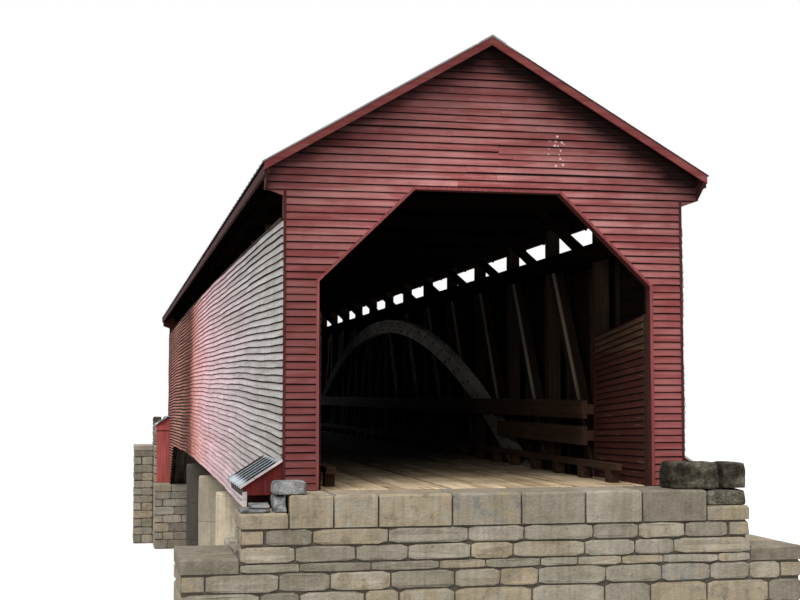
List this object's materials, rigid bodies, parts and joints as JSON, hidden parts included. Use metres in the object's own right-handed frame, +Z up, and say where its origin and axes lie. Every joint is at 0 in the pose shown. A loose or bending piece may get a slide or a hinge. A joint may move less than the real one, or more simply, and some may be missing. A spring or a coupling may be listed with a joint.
{
  "type": "covered bridge, half-size model",
  "caption": "Long wooden covered bridge with a boarded gable portal, arch trusses inside, a metal roof, round piers and stone abutments; a scale model at half size.",
  "frame": {"origin": "on the stream bed level, below the middle of the bridge, on its centreline", "axes": "+Z up, +Y along the bridge from the near portal to the far one, +X to the right when entering by the near portal; the floor's top is at z 2.7 m"},
  "size_m": [4.9, 23.5, 6.309],
  "materials": {
    "red_boards": "weathered barn red paint",
    "faded_boards": "faded chalky paint",
    "old_timber": "bare old timber",
    "arch_timber": "bare grey timber",
    "floor_planks": "worn planks",
    "roof_metal": "dull galvanised",
    "stone": "rough coursed stone",
    "concrete": "cast concrete"
  },
  "bodies": {
    "root": {"near_portal_wall": "red_boards", "far_portal_wall": "red_boards", "portal_casings": "red_boards", "left_roof_boards": "old_timber", "right_roof_boards": "old_timber", "left_roof_sheets": "roof_metal", "right_roof_sheets": "roof_metal", "ridge_cap": "roof_metal", "rake_boards": "red_boards", "eave_fascias": "red_boards", "left_rafters": "old_timber", "right_rafters": "old_timber", "wall_plates": "old_timber", "tie_beams": "old_timber", "knee_braces": "old_timber", "left_posts": "old_timber", "right_posts": "old_timber", "left_braces": "old_timber", "right_braces": "old_timber", "top_chords": "old_timber", "bottom_chords": "old_timber", "left_inner_arch": "arch_timber", "right_inner_arch": "arch_timber", "left_outer_arch": "arch_timber", "right_outer_arch": "arch_timber", "left_side_wall": "faded_boards", "right_side_wall": "faded_boards", "wall_trims": "red_boards", "wall_nailers": "old_timber", "wall_girts": "old_timber", "floor_beams": "old_timber", "floor_joists": "old_timber", "deck_boards": "floor_planks", "running_planks": "floor_planks", "kerb_timbers": "floor_planks", "guard_rails": "floor_planks", "portal_wings": "red_boards", "arch_end_boxes": "red_boards", "arch_end_roofs": "roof_metal", "pier_columns": "concrete", "pier_caps": "concrete", "near_abutment": "stone", "far_abutment": "stone", "guard_stones": "stone"}
  },
  "joints": []
}
